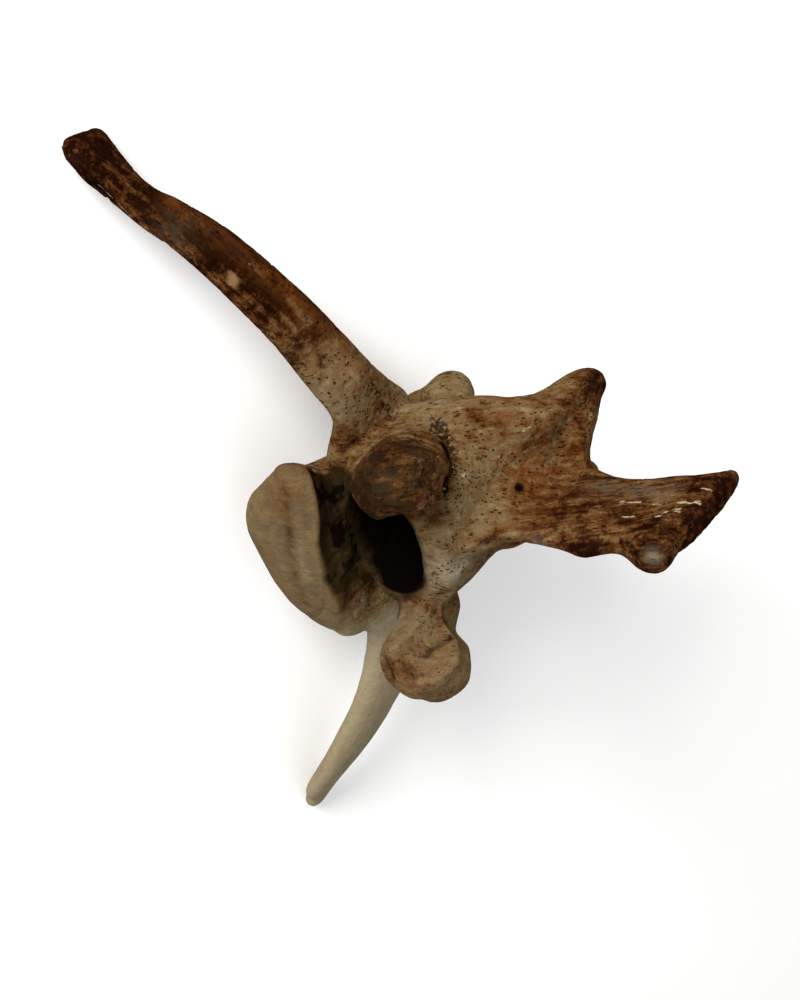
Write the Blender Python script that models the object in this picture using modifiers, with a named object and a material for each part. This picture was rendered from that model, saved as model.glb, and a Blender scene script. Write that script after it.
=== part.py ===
"""A deer's lumbar vertebra at life size, standing on its two transverse processes and the rear rim of its body.

The bone is shaped in its own axes: +X towards the head, +Y towards the animal's left, +Z towards the back,
with the middle of the vertebral body at the origin. An empty then turns it into the way it rests on a table.
The bone is fused whole from lofted forms, hollowed by cutters, and parted with thin cuts into its named parts.
"""

import math

import bmesh
import bpy
import numpy as np
from mathutils import Matrix, Vector

MM = 0.001

# Vertebral body
FRONT_X = 18.6 * MM
REAR_X = -20.2 * MM
FRONT_HALF_WIDTH = 17.0 * MM
WAIST_HALF_WIDTH = 9.0 * MM
REAR_HALF_WIDTH = 10.6 * MM
FRONT_HALF_HEIGHT = 8.6 * MM
REAR_HALF_HEIGHT = 7.4 * MM
FRONT_MID_Z = -3.8 * MM
REAR_MID_Z = 1.0 * MM
FRONT_LEAN_Y = 1.3 * MM
FRONT_BULGE = 2.8 * MM
REAR_HOLLOW_DEPTH = 2.0 * MM

# Canal and arch
CANAL_FLOOR_Z = 3.4 * MM
CANAL_ROOF_Z = 18.4 * MM
CANAL_HALF_WIDTH = 9.6 * MM
ARCH_WALL = 3.8 * MM
ARCH_FRONT_X = 13.5 * MM
ARCH_REAR_X = -14.5 * MM

# Spinous process
SPINE_TOP_Z = 56.6 * MM
SPINE_FRONT_TOP_X = 3.2 * MM
SPINE_REAR_TOP_X = -21.6 * MM
SPINE_NECK_Z = 39.0 * MM
SPINE_NECK_FRONT_X = 4.8 * MM
SPINE_NECK_REAR_X = -13.8 * MM
SPINE_HALF_THICKNESS = 2.0 * MM
SPINE_EDGE_HALF_THICKNESS = 3.3 * MM

# Transverse processes: in millimetres, how far out, how high, rear edge, front edge, half thickness
WING_ROOT = ((7.0, 1.6, -9.4, 10.6, 4.6), (13.0, 2.4, -8.9, 10.2, 3.6))
RIGHT_WING = (
    (17.0, 2.6, -6.1, 9.6, 3.0),
    (21.0, 2.6, -3.5, 9.5, 2.7),
    (26.0, 2.2, -0.9, 11.0, 2.4),
    (38.0, -0.8, 4.0, 14.5, 2.2),
    (51.0, -7.6, 9.1, 18.3, 2.1),
    (57.0, -11.6, 13.0, 20.9, 2.0),
    (61.0, -14.3, 15.6, 22.2, 1.9),
    (65.0, -17.0, 16.0, 23.5, 1.9),
    (68.4, -19.4, 15.2, 23.4, 2.0),
    (69.8, -20.4, 16.0, 22.4, 1.6),
)
LEFT_WING = (
    (17.0, 2.8, -6.1, 15.6, 3.3),
    (21.0, 2.8, -3.5, 14.2, 3.2),
    (26.0, 2.2, -1.3, 12.8, 3.1),
    (38.0, -0.8, 3.0, 16.6, 3.0),
    (51.0, -7.6, 8.2, 20.9, 2.7),
    (61.0, -14.3, 13.6, 23.4, 2.1),
    (65.0, -17.0, 15.0, 23.1, 1.9),
    (68.2, -19.3, 16.4, 22.6, 1.7),
    (69.8, -20.4, 17.8, 21.4, 1.3),
)
WING_TWIST = -0.08

# Articular processes
FRONT_KNOB = Vector((17.6, 16.4, 20.2)) * MM
LEFT_KNOB_SHIFT = Vector((2.8, 2.4, -1.4)) * MM
REAR_HORN_TIP = Vector((-27.5, 9.0, 28.8)) * MM
LEFT_HORN_SHIFT = Vector((2.2, -0.4, -2.6)) * MM
REAR_HORN_HALF_WIDTH = 3.6 * MM

# Touches of the modelling tool, in millimetres: place, reach, and how far it pushes or pulls the surface there
TOUCHES = (
    ((-16.8, -4.5, 34.4), 5.0, (1.1, -0.5, -1.7)),
    ((-17.4, -13.0, 25.2), 4.5, (0.7, 1.6, 0.9)),
    ((-21.6, -8.0, 32.2), 3.5, (0.3, -0.2, -0.6)),
    ((-2.0, 0.9, 56.0), 5.0, (0.0, -0.3, -0.4)),
    ((11.8, 15.2, 22.2), 3.4, (1.0, -0.6, -1.8)),
    ((10.3, 16.3, 20.2), 3.2, (0.9, -0.6, -1.6)),
    ((16.0, 19.8, 25.0), 3.0, (0.3, -0.1, -0.5)),
    ((8.2, 9.5, 22.0), 5.0, (0.0, -0.2, -0.3)),
    ((21.0, 22.4, 24.8), 3.2, (-0.3, -1.2, -0.9)),
    ((24.7, 20.0, 20.1), 3.0, (0.5, 0.5, 0.0)),
    ((19.0, -12.0, -6.6), 5.0, (-0.2, 1.2, 1.6)),
    ((20.4, -2.0, -9.6), 5.0, (0.5, 0.0, -0.6)),
    ((17.8, 17.8, 1.0), 4.0, (0.5, 0.6, 0.0)),
    ((9.4, -17.0, 1.6), 4.0, (-1.0, 0.2, 1.2)),
    ((22.6, 67.0, -18.6), 3.5, (-1.8, -0.4, 1.3)),
    ((22.4, -70.0, -20.0), 2.5, (0.1, -0.5, -0.7)),
    ((17.3, -69.3, -18.0), 2.5, (0.5, 0.3, -0.2)),
    ((-17.5, -9.9, -1.0), 4.5, (0.0, 1.2, 1.0)),
    ((-17.3, -7.2, -2.3), 4.0, (0.8, 1.2, 0.5)),
    ((20.5, -19.0, 22.0), 6.0, (-0.7, 0.7, -0.6)),
)

# Making
VOXEL = 0.55 * MM
CUT_GAP = 0.3 * MM
TRIANGLES = 15000
RING_POINTS = 28
SMALLEST_PIECE_VERTICES = 60
SHARP_ANGLE = math.radians(50)
MIRRORED = ((1, "left"), (-1, "right"))

# Parting cuts, in millimetres
BODY_CUT_Z = 8.2
SPINE_CUT_Z = 34.0
WING_CUT_Y = 17.6

# Looks, as linear colours
TINTS = {
    "centrum": (0.190, 0.142, 0.075),
    "vertebral_arch": (0.235, 0.155, 0.075),
    "spinous": (0.130, 0.065, 0.025),
    "transverse_process_right": (0.105, 0.048, 0.016),
    "transverse_process_left": (0.420, 0.350, 0.235),
    "cranial": (0.200, 0.135, 0.062),
    "caudal": (0.150, 0.082, 0.034),
}
BONE_ROUGHNESS = 0.62


def clear_scene():
    for obj in list(bpy.data.objects):
        bpy.data.objects.remove(obj, do_unlink=True)


def new_collection(name, hidden=False):
    collection = bpy.data.collections.new(name)
    bpy.context.scene.collection.children.link(collection)
    collection.hide_render = hidden
    return collection


def section(centre, across, upward, power=2.0, flare=0.0):
    """One ring of a loft: its centre, two half-axes in millimetres, how square it is, and how much wider its top is."""
    return np.array([*centre, *across, *upward, power, flare], float)


def spline(stations, steps):
    """Stations read from a smooth curve through the given ones."""
    rows = np.array(stations)
    ends = np.vstack([2 * rows[0] - rows[1], rows, 2 * rows[-1] - rows[-2]])
    out = []
    for i in range(1, len(rows)):
        before, start, end, after = ends[i - 1 : i + 3]
        for t in np.linspace(0, 1, steps, endpoint=False):
            bend = 2 * before - 5 * start + 4 * end - after
            twist = -before + 3 * start - 3 * end + after
            out.append(0.5 * (2 * start + (end - before) * t + bend * t**2 + twist * t**3))
    out.append(rows[-1])
    return out


def ring_points(station):
    centre, across, upward, power, flare = station[:3], station[3:6], station[6:9], station[9], station[10]
    points = []
    for k in range(RING_POINTS):
        angle = 2 * math.pi * k / RING_POINTS
        c, s = math.cos(angle), math.sin(angle)
        c = math.copysign(abs(c) ** (2 / power), c)
        s = math.copysign(abs(s) ** (2 / power), s)
        points.append(centre + across * c * (1 + flare * s) + upward * s)
    return points


def loft(name, stations, collection, steps=5):
    """A closed body through rings of unlike sections, given in millimetres."""
    mesh = bmesh.new()
    rings = [[mesh.verts.new(p * MM) for p in ring_points(s)] for s in spline(stations, steps)]
    for lower, upper in zip(rings, rings[1:]):
        for k in range(RING_POINTS):
            n = (k + 1) % RING_POINTS
            mesh.faces.new((lower[k], lower[n], upper[n], upper[k]))
    mesh.faces.new(list(reversed(rings[0])))
    mesh.faces.new(rings[-1])
    bmesh.ops.recalc_face_normals(mesh, faces=mesh.faces)
    data = bpy.data.meshes.new(name)
    mesh.to_mesh(data)
    mesh.free()
    obj = bpy.data.objects.new(name, data)
    collection.objects.link(obj)
    return obj


def vertebral_body(forms):
    front, rear, bulge = FRONT_X / MM, REAR_X / MM, FRONT_BULGE / MM
    front_w, waist_w, rear_w = FRONT_HALF_WIDTH / MM, WAIST_HALF_WIDTH / MM, REAR_HALF_WIDTH / MM
    front_h, rear_h = FRONT_HALF_HEIGHT / MM, REAR_HALF_HEIGHT / MM
    front_z, rear_z = FRONT_MID_Z / MM, REAR_MID_Z / MM
    shape = (
        (rear, rear_w - 1.8, rear_h - 1.4, rear_z, 0.22),
        (rear + 1.2, rear_w, rear_h, rear_z, 0.24),
        (rear + 3.8, rear_w - 0.8, rear_h - 0.5, rear_z - 0.1, 0.22),
        (rear + 9, waist_w + 0.4, rear_h - 1.8, rear_z - 0.5, 0.18),
        (0, waist_w, rear_h - 2.2, rear_z - 0.8, 0.14),
        (front - 9, waist_w + 1.2, front_h - 2.2, front_z + 0.5, 0.14),
        (front - 4, front_w - 2.6, front_h - 0.8, front_z + 0.1, 0.18),
        (front - 1.2, front_w - 0.6, front_h, front_z, 0.2),
        (front + 0.4, front_w - 1.2, front_h - 0.5, front_z, 0.18),
        (front + 1.8, front_w - 4.4, front_h - 2.6, front_z - 0.3, 0.12),
        (front + bulge, front_w - 9.5, front_h - 5.2, front_z - 0.6, 0),
    )
    lean = FRONT_LEAN_Y / MM
    rings = [
        section((x, lean * max(0, x) / front, z), (0, w, 0), (0, 0, h), 2.25, flare) for x, w, h, z, flare in shape
    ]
    loft("body_form", rings, forms)
    shoulder = [
        section((0, 10.6, 2.0), (0, 4.2, 0), (0, 0, 3.8)),
        section((6, 11.4, 1.4), (0, 6.6, 0), (0, 0, 3.6), 2.4),
        section((11, 12.2, 1.0), (0, 8.0, 0), (0, 0, 3.5), 2.6),
        section((15, 13.4, 0.6), (0, 8.2, 0), (0, 0, 3.5), 2.6),
        section((17.6, 13.4, 0.0), (0, 6.6, 0), (0, 0, 3.2), 2.2),
    ]
    loft("left_shoulder_form", shoulder, forms)
    lobe = [
        section((-9.0, -11.2, 10.0), (0, 2.4, 0), (0, 0, 4.6)),
        section((-12.6, -10.9, 9.2), (0, 3.0, 0), (0, 0, 4.7)),
        section((-16.0, -10.6, 8.3), (0, 2.9, 0), (0, 0, 3.9)),
        section((-18.2, -10.4, 7.8), (0, 1.6, 0), (0, 0, 2.2)),
    ]
    loft("rear_lobe_form", lobe, forms)
    keel = [
        section((rear + 2, 0, rear_z - rear_h + 2.2), (0, 2.0, 0), (0, 0, 2.0)),
        section((0, 0, rear_z - rear_h + 1.6), (0, 2.0, 0), (0, 0, 2.2)),
        section((front - 3, 0, front_z - front_h + 2.2), (0, 2.2, 0), (0, 0, 2.0)),
    ]
    loft("keel_form", keel, forms)


def arch(forms):
    """The pedicles and laminae as one block, which the canal is then cut through."""
    wall = ARCH_WALL / MM
    width, roof, front, rear = CANAL_HALF_WIDTH / MM, CANAL_ROOF_Z / MM, ARCH_FRONT_X / MM, ARCH_REAR_X / MM
    shape = (
        (rear, width + wall - 1.4, 23.4, 6.2),
        (rear + 4, width + wall + 0.8, 19.8, 9.6),
        (rear + 9, width + wall + 1.0, 13.2, 13.4),
        (0, width + wall, 11.0, 14.2),
        (front - 6, width + wall + 0.6, 12.0, 12.8),
        (front, width + wall + 0.2, 14.2, 9.2),
    )
    loft("arch_form", [section((x, 0, z), (0, w, 0), (0, 0, h), 2.5) for x, w, z, h in shape], forms)
    ridge = [
        section((front - 0.5, 0, roof + 1.2), (0, 4.6, 0), (0, 0, 2.4)),
        section((4, 0, roof + 5.4), (0, 4.4, 0), (0, 0, 4.6)),
        section((-6, 0, roof + 7.2), (0, 4.8, 0), (0, 0, 5.0)),
        section((rear - 1, 0, roof + 9.2), (0, 5.6, 0), (0, 0, 4.4)),
    ]
    loft("roof_ridge_form", ridge, forms)


def spinous_process(forms):
    top, front, rear = SPINE_TOP_Z / MM, SPINE_FRONT_TOP_X / MM, SPINE_REAR_TOP_X / MM
    neck, neck_front, neck_rear = SPINE_NECK_Z / MM, SPINE_NECK_FRONT_X / MM, SPINE_NECK_REAR_X / MM
    thin, thick = SPINE_HALF_THICKNESS / MM, SPINE_EDGE_HALF_THICKNESS / MM
    shape = (
        (20.0, 13.2, -15.8, thin + 1.8),
        (26.0, 10.8, -16.9, thin + 0.8),
        (30.0, 6.2, -16.6, thin + 0.2),
        (34.0, 5.2, -15.2, thin),
        (neck, neck_front, neck_rear, thin),
        (neck + 4, neck_front + 0.7, neck_rear - 0.9, thin),
        (neck + 6.4, neck_front - 1.4, neck_rear - 2.0, thin + 0.2),
        (neck + 8.5, front - 0.8, neck_rear - 3.2, thin + 0.2),
        (top - 6, front - 0.2, rear + 3.6, thin + 0.6),
        (top - 2.8, front, rear + 2.2, thick),
        (top - 1.0, front - 2.4, rear, thick - 0.5),
        (top, front - 6.4, rear + 1.6, thin - 0.4),
    )
    stations = [
        section(((a + b) / 2, 0, z), ((a - b) / 2, 0, 0.02 * (b - a)), (0, t, 0), 2.8) for z, a, b, t in shape
    ]
    loft("spine_form", stations, forms)
    corner = [
        section((front - 3.0, 0, top - 9.0), (1.8, 0, 0), (0, thick - 1.2, 0)),
        section((front - 2.2, 0, top - 5.4), (2.6, 0, 0), (0, thick + 0.2, 0)),
        section((front - 2.4, 0, top - 2.6), (2.4, 0, 0), (0, thick + 0.2, 0)),
        section((front - 3.4, 0, top - 0.8), (1.4, 0, 0), (0, thick - 1.2, 0)),
    ]
    loft("spine_corner_form", corner, forms)


def transverse_process(side, forms):
    """A blade that leaves the side of the body, sweeps towards the head and bends down to its tip."""
    shape = WING_ROOT + (LEFT_WING if side > 0 else RIGHT_WING)
    centres = [Vector(((rear + front) / 2, out, height)) for out, height, rear, front, _ in shape]
    flip = Vector((1, side, 1))
    stations = []
    for i, (_, _, rear, front, thick) in enumerate(shape):
        along = centres[min(i + 1, len(shape) - 1)] - centres[max(i - 1, 0)]
        across = Vector((1, 0, WING_TWIST)) * (front - rear) / 2
        upward = Vector((0, -along.z, along.y)).normalized() * thick
        stations.append(section(*(v * flip for v in (centres[i], across, upward)), 2.2))
    loft("wing_form", stations, forms, steps=3)


def front_knob(side):
    return FRONT_KNOB / MM + (LEFT_KNOB_SHIFT / MM if side > 0 else Vector())


def front_articular_process(side, forms):
    knob = front_knob(side)
    x, y, z = knob.x, knob.y * side, knob.z
    stations = [
        section((x - 14, y - 3.4 * side, z - 5.0), (0, 4.0, 0), (0, 0, 5.4)),
        section((x - 8, y - 2.0 * side, z - 2.4), (0, 5.0, 0), (0, 0, 6.6), 2.2),
        section((x - 2.4, y - 1.0 * side, z - 0.6), (0, 5.6, 0), (0, 0, 7.2), 2.2),
        section((x + 1.8, y - 0.8 * side, z - 0.4), (0, 4.9, 0), (0, 0, 6.3), 2.1),
        section((x + 4.0, y - 0.8 * side, z - 0.4), (0, 3.0, 0), (0, 0, 4.0)),
        section((x + 4.9, y - 0.8 * side, z - 0.4), (0, 1.2, 0), (0, 0, 1.6)),
    ]
    loft("front_joint_form", stations, forms)
    out = 2.6 if side > 0 else 1.0
    mammillary = [
        section((x - 9.5, y + (out - 1.6) * side, z + 1.0), (0, 2.4, 0), (0, 0, 2.6)),
        section((x - 4.5, y + (out - 0.4) * side, z + 2.8), (0, 3.9, 0), (0, 0, 4.0)),
        section((x + 0.2, y + out * side, z + 3.0), (0, 3.8, 0), (0, 0, 3.8)),
        section((x + 2.8, y + (out - 0.2) * side, z + 2.8), (0, 2.0, 0), (0, 0, 2.0)),
    ]
    loft("mammillary_form", mammillary, forms)


def rear_articular_process(side, forms):
    tip = REAR_HORN_TIP / MM + (LEFT_HORN_SHIFT / MM if side > 0 else Vector())
    x, y, z = tip.x, tip.y * side, tip.z
    wide = REAR_HORN_HALF_WIDTH / MM
    stations = [
        section((x + 21, y + 0.4 * side, z - 7.4), (0, wide + 0.6, 0), (0, 0, 5.6)),
        section((x + 13, y + 0.3 * side, z - 4.0), (0, wide + 0.8, 0), (0, 0, 5.4)),
        section((x + 6, y, z - 1.4), (0, wide + 0.2, 0), (0, 0, 4.4)),
        section((x + 1.6, y, z), (0, wide - 0.8, 0), (0, 0, 3.0)),
        section((x + 0.1, y, z + 0.2), (0, wide - 1.9, 0), (0, 0, 1.6)),
    ]
    loft("rear_joint_form", stations, forms)
    drop = 2.0 if side > 0 else 0.0
    ridge = [
        section((x + 15.5, 1.6 * side, z + 3.6 - drop), (0, 2.2, 0), (0, 0, 3.6)),
        section((x + 11.0, 3.6 * side, z + 2.4 - drop), (0, 3.4, 0), (0, 0, 3.8)),
        section((x + 6.0, 6.2 * side, z + 1.2 - drop / 2), (0, 3.4, 0), (0, 0, 3.2)),
        section((x + 2.6, y - 1.2 * side, z + 0.8), (0, 2.0, 0), (0, 0, 1.8)),
    ]
    loft("rear_ridge_form", ridge, forms)


def canal_cutter(cutters):
    floor, roof, width = CANAL_FLOOR_Z / MM, CANAL_ROOF_Z / MM, CANAL_HALF_WIDTH / MM
    mid, half = (floor + roof) / 2, (roof - floor) / 2
    shape = (
        (-24, width - 0.2, mid + 5.2, half - 0.2),
        (-12, width - 1.0, mid + 2.6, half - 0.6),
        (0, width - 1.6, mid + 0.4, half - 1.4),
        (10, width - 0.4, mid, half - 0.3),
        (24, width + 0.8, mid, half + 0.2),
    )
    return loft("canal_cutter", [section((x, 0, z), (0, w, 0), (0, 0, h), 2.5) for x, w, z, h in shape], cutters)


def notch_cutters(cutters):
    """The gaps that the spinal nerves leave by, fore and aft of each pedicle, run right across the bone.

    The one behind the right pedicle is small, under the lobe that grows there."""
    front = [section((17.5, y, 9.4), (3.4, 0, 0), (0, 0, 3.4)) for y in (-26, 0, 26)]
    rear = [section((-20.6, y, 4.9), (2.4, 0, 0), (0, 0, 2.2)) for y in (-26, -12, -7)]
    rear += [section((-16.5, y, 9.2), (6.2, 0, 0), (0, 0, 6.0)) for y in (0, 12, 26)]
    return [loft("front_notch_cutter", front, cutters), loft("rear_notch_cutter", rear, cutters)]


def facet_cutters(cutters):
    """The hollow joint face on the inner side of each front articular process."""
    made = []
    for side, _ in MIRRORED:
        knob = front_knob(side)
        y, z = (knob.y - 7.6) * side, knob.z + 4.0
        stations = [
            section((knob.x - 8, y, z + 1.5), (0, 4.6, 0), (0, 0, 5.4)),
            section((knob.x, y, z), (0, 5.4, 0), (0, 0, 6.2)),
            section((knob.x + 9, y, z), (0, 6.2, 0), (0, 0, 7.0)),
        ]
        made.append(loft("facet_cutter", stations, cutters))
    return made


def rear_hollow_cutter(cutters):
    """The shallow dish in the rear face of the body."""
    depth = REAR_HOLLOW_DEPTH / MM
    x, z = REAR_X / MM, REAR_MID_Z / MM
    width, height = REAR_HALF_WIDTH / MM - 2.4, REAR_HALF_HEIGHT / MM - 1.8
    stations = [
        section((x - 6, 0, z), (0, width + 1.2, 0), (0, 0, height + 0.8)),
        section((x, 0, z), (0, width, 0), (0, 0, height)),
        section((x + 0.7 * depth, 0, z), (0, 0.7 * width, 0), (0, 0, 0.7 * height)),
        section((x + depth, 0, z), (0, 0.3 * width, 0), (0, 0, 0.3 * height)),
    ]
    return loft("rear_hollow_cutter", stations, cutters)


def show_as_wires(obj):
    obj.hide_render = True
    obj.display_type = "WIRE"


def apply_modifiers(obj):
    """Keeps the evaluated mesh in place of the object's own."""
    graph = bpy.context.evaluated_depsgraph_get()
    shaped = bpy.data.meshes.new_from_object(obj.evaluated_get(graph))
    obj.modifiers.clear()
    obj.data = shaped


def join_forms(name, forms, collection):
    """All the forms as one mesh, which the voxels then fuse."""
    mesh = bmesh.new()
    for form in list(forms.objects):
        mesh.from_mesh(form.data)
        bpy.data.objects.remove(form)
    data = bpy.data.meshes.new(name)
    mesh.to_mesh(data)
    mesh.free()
    obj = bpy.data.objects.new(name, data)
    collection.objects.link(obj)
    return obj


def fuse(obj, smoothing):
    """Voxels melt the forms together and the smoothing rounds the roots and edges."""
    remesh = obj.modifiers.new("fuse", "REMESH")
    remesh.mode = "VOXEL"
    remesh.voxel_size = VOXEL
    smooth = obj.modifiers.new("soften", "SMOOTH")
    smooth.factor = 0.5
    smooth.iterations = smoothing
    apply_modifiers(obj)


def cut(obj, cutters):
    for cutter in cutters:
        show_as_wires(cutter)
        trim = obj.modifiers.new("cut", "BOOLEAN")
        trim.operation = "DIFFERENCE"
        trim.object = cutter
        trim.solver = "EXACT"
        apply_modifiers(obj)
        bpy.data.objects.remove(cutter)


def touch_up(obj):
    """Moves the surface near each touch, fading with distance, as a thumb does in clay."""
    mesh = obj.data
    places = np.empty(len(mesh.vertices) * 3)
    mesh.vertices.foreach_get("co", places)
    places = places.reshape(-1, 3) / MM
    moved = places.copy()
    for centre, reach, push in TOUCHES:
        away = ((places - np.array(centre)) ** 2).sum(axis=1)
        moved += np.exp(-away / reach**2)[:, None] * np.array(push)
    mesh.vertices.foreach_set("co", (moved * MM).ravel())
    mesh.update()


def make_bone(collection):
    forms = new_collection("forms", hidden=True)
    cutters = new_collection("cutters", hidden=True)
    vertebral_body(forms)
    arch(forms)
    spinous_process(forms)
    for side, _ in MIRRORED:
        transverse_process(side, forms)
        front_articular_process(side, forms)
        rear_articular_process(side, forms)
    bone = join_forms("bone", forms, collection)
    fuse(bone, 10)
    cut(bone, [canal_cutter(cutters), *notch_cutters(cutters), *facet_cutters(cutters), rear_hollow_cutter(cutters)])
    fuse(bone, 4)
    keep_largest(bone)
    touch_up(bone)
    thin_out = bone.modifiers.new("thin_out", "DECIMATE")
    thin_out.ratio = TRIANGLES / (2 * len(bone.data.polygons))
    apply_modifiers(bone)
    return bone


def loose_parts(mesh):
    """The vertices of each separate surface, largest first."""
    seen, parts = set(), []
    for start in mesh.verts:
        if start in seen:
            continue
        seen.add(start)
        found, todo = [], [start]
        while todo:
            vert = todo.pop()
            found.append(vert)
            for edge in vert.link_edges:
                other = edge.other_vert(vert)
                if other not in seen:
                    seen.add(other)
                    todo.append(other)
        parts.append(found)
    return sorted(parts, key=len, reverse=True)


def keep_largest(obj):
    mesh = bmesh.new()
    mesh.from_mesh(obj.data)
    for part in loose_parts(mesh)[1:]:
        bmesh.ops.delete(mesh, geom=part, context="VERTS")
    mesh.to_mesh(obj.data)
    mesh.free()


def slab(name, centre, facing, width, height, cutters):
    """A plate as thick as the gap, centred here in millimetres, with its flat faces turned this way."""
    facing = Vector(facing).normalized()
    side = facing.cross(Vector((0, 0, 1)) if abs(facing.z) < 0.9 else Vector((1, 0, 0))).normalized()
    upward = facing.cross(side)
    mesh = bmesh.new()
    bmesh.ops.create_cube(mesh, size=1)
    size = Matrix.Diagonal((CUT_GAP, width * MM, height * MM, 1))
    turn = Matrix((facing, side, upward)).transposed().to_4x4()
    mesh.transform(Matrix.Translation(Vector(centre) * MM) @ turn @ size)
    data = bpy.data.meshes.new(name)
    mesh.to_mesh(data)
    mesh.free()
    obj = bpy.data.objects.new(name, data)
    cutters.objects.link(obj)
    return obj


def parting_slabs(cutters):
    """Where the bone is parted: each place follows a border that a textbook draws."""
    slabs = [
        slab("body_slab", (-4, 0, BODY_CUT_Z), (0.1, 0, 1), 60, 60, cutters),
        slab("spine_slab", (-4, 0, SPINE_CUT_Z), (0, 0, 1), 17, 46, cutters),
    ]
    for side, _ in MIRRORED:
        slabs += [
            slab("wing_slab", (4, WING_CUT_Y * side, 1.0), (0, 1, 0), 44, 14, cutters),
            slab("front_slab", (11.4, 13.2 * side, 19.4), (0.6, 0.72 * side, 0.33), 26, 22, cutters),
            slab("rear_slab", (-16.0, 9.6 * side, 26.0), (-0.86, 0.42 * side, 0), 20, 22, cutters),
        ]
    return slabs


def name_of(box_low, box_high):
    """Which named part a loose piece is, from its bounding box in millimetres."""
    mid = (box_low + box_high) / 2
    side = "left" if mid.y > 0 else "right"
    if box_high.z > 50:
        return "spinous_process"
    if max(abs(box_low.y), abs(box_high.y)) > 40:
        return f"transverse_process_{side}"
    if box_low.y < -5 and box_high.y > 5:
        return "centrum" if mid.z < 5 else "vertebral_arch"
    return f"cranial_articular_process_{side}" if mid.x > 0 else f"caudal_articular_process_{side}"


def part_bone(bone, collection):
    """Cuts the bone with the slabs, then makes each loose piece an object of its own."""
    cut(bone, parting_slabs(bpy.data.collections["cutters"]))
    whole = bmesh.new()
    whole.from_mesh(bone.data)
    nodes = {}
    for piece in loose_parts(whole):
        if len(piece) < SMALLEST_PIECE_VERTICES:
            continue
        low = Vector([min(v.co[i] for v in piece) for i in range(3)]) / MM
        high = Vector([max(v.co[i] for v in piece) for i in range(3)]) / MM
        name = name_of(low, high)
        mesh = bmesh.new()
        copies = {vert: mesh.verts.new(vert.co) for vert in piece}
        for face in {face for vert in piece for face in vert.link_faces}:
            mesh.faces.new([copies[vert] for vert in face.verts])
        bmesh.ops.recalc_face_normals(mesh, faces=mesh.faces)
        data = bpy.data.meshes.new(name)
        mesh.to_mesh(data)
        mesh.free()
        data.shade_smooth()
        data.set_sharp_from_angle(angle=SHARP_ANGLE)
        nodes[name] = bpy.data.objects.new(name, data)
        collection.objects.link(nodes[name])
    whole.free()
    bpy.data.objects.remove(bone)
    return nodes


def paint(nodes):
    for name, obj in nodes.items():
        tint = next(tint for start, tint in TINTS.items() if name.startswith(start))
        material = bpy.data.materials.new(name + "_bone")
        material.use_nodes = True
        shader = material.node_tree.nodes["Principled BSDF"]
        shader.inputs["Base Color"].default_value = (*tint, 1)
        shader.inputs["Roughness"].default_value = BONE_ROUGHNESS
        shader.inputs["Metallic"].default_value = 0
        obj.data.materials.append(material)


def lowest(points, upward):
    return points[np.argmin(points @ upward)]


def rest_direction(points):
    """Which way is up, in the bone's axes, when it stands on both wing tips and the rear of its body."""
    left = points[points[:, 1] > 0.9 * points[:, 1].max()]
    right = points[points[:, 1] < 0.9 * points[:, 1].min()]
    rear = points[(np.abs(points[:, 1]) < 15 * MM) & (points[:, 0] < 0) & (points[:, 2] < 10 * MM)]
    upward = np.array([0.4, 0, 0.9])
    for _ in range(20):
        a, b, c = lowest(left, upward), lowest(right, upward), lowest(rear, upward)
        upward = np.cross(b - a, c - a)
        upward *= np.sign(upward[2]) / np.linalg.norm(upward)
    return upward


def stand(nodes, collection):
    """Hangs the parts on an empty that turns and lifts them onto the table, centred on their own box."""
    points = np.array([vert.co for obj in nodes.values() for vert in obj.data.vertices])
    upward = rest_direction(points)
    forward = np.array([1, 0, 0]) - upward[0] * upward
    forward /= np.linalg.norm(forward)
    turn = np.array([forward, np.cross(upward, forward), upward])
    turned = points @ turn.T
    low, high = turned.min(axis=0), turned.max(axis=0)
    place = Matrix.Translation((-(low[0] + high[0]) / 2, -(low[1] + high[1]) / 2, -low[2]))
    resting = bpy.data.objects.new("resting_pose", None)
    collection.objects.link(resting)
    resting.matrix_world = place @ Matrix(turn.tolist()).to_4x4()
    for obj in nodes.values():
        obj.parent = resting


def main():
    clear_scene()
    vertebra = new_collection("deer_lumbar_vertebra")
    bone = make_bone(vertebra)
    nodes = part_bone(bone, vertebra)
    paint(nodes)
    stand(nodes, vertebra)


main()
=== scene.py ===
"""Looks of the deer vertebra: one seamless surface grown from the parted solids, with relief and stains.

Lengths are in millimetres and in the animal's own axes (X towards the head, Y towards its left, Z up
from the body) until the surface is made into an object, which the resting pose then lays on the table.
"""

import itertools
import math

import bmesh
import bpy
import numpy as np
from mathutils import Euler
from mathutils import Matrix
from mathutils import Vector


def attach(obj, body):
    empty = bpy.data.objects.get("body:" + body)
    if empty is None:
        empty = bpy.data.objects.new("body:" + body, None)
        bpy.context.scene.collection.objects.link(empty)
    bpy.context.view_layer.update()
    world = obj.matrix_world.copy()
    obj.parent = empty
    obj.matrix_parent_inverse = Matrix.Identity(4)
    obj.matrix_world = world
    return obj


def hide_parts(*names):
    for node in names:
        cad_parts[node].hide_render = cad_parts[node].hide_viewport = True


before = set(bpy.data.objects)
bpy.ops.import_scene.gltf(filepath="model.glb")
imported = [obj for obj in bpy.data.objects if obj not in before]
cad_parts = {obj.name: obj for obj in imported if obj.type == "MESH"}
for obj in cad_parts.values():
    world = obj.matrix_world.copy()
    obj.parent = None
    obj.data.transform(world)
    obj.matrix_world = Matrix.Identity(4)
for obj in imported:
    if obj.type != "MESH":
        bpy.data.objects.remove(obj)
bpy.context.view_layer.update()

# Units and the resting pose
MM = 0.001
REST_TURN = (math.radians(-0.3067), math.radians(-21.7762), 0.0)
REST_PLACE = (5.7102 * MM, 0.3548 * MM, 12.7471 * MM)
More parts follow.
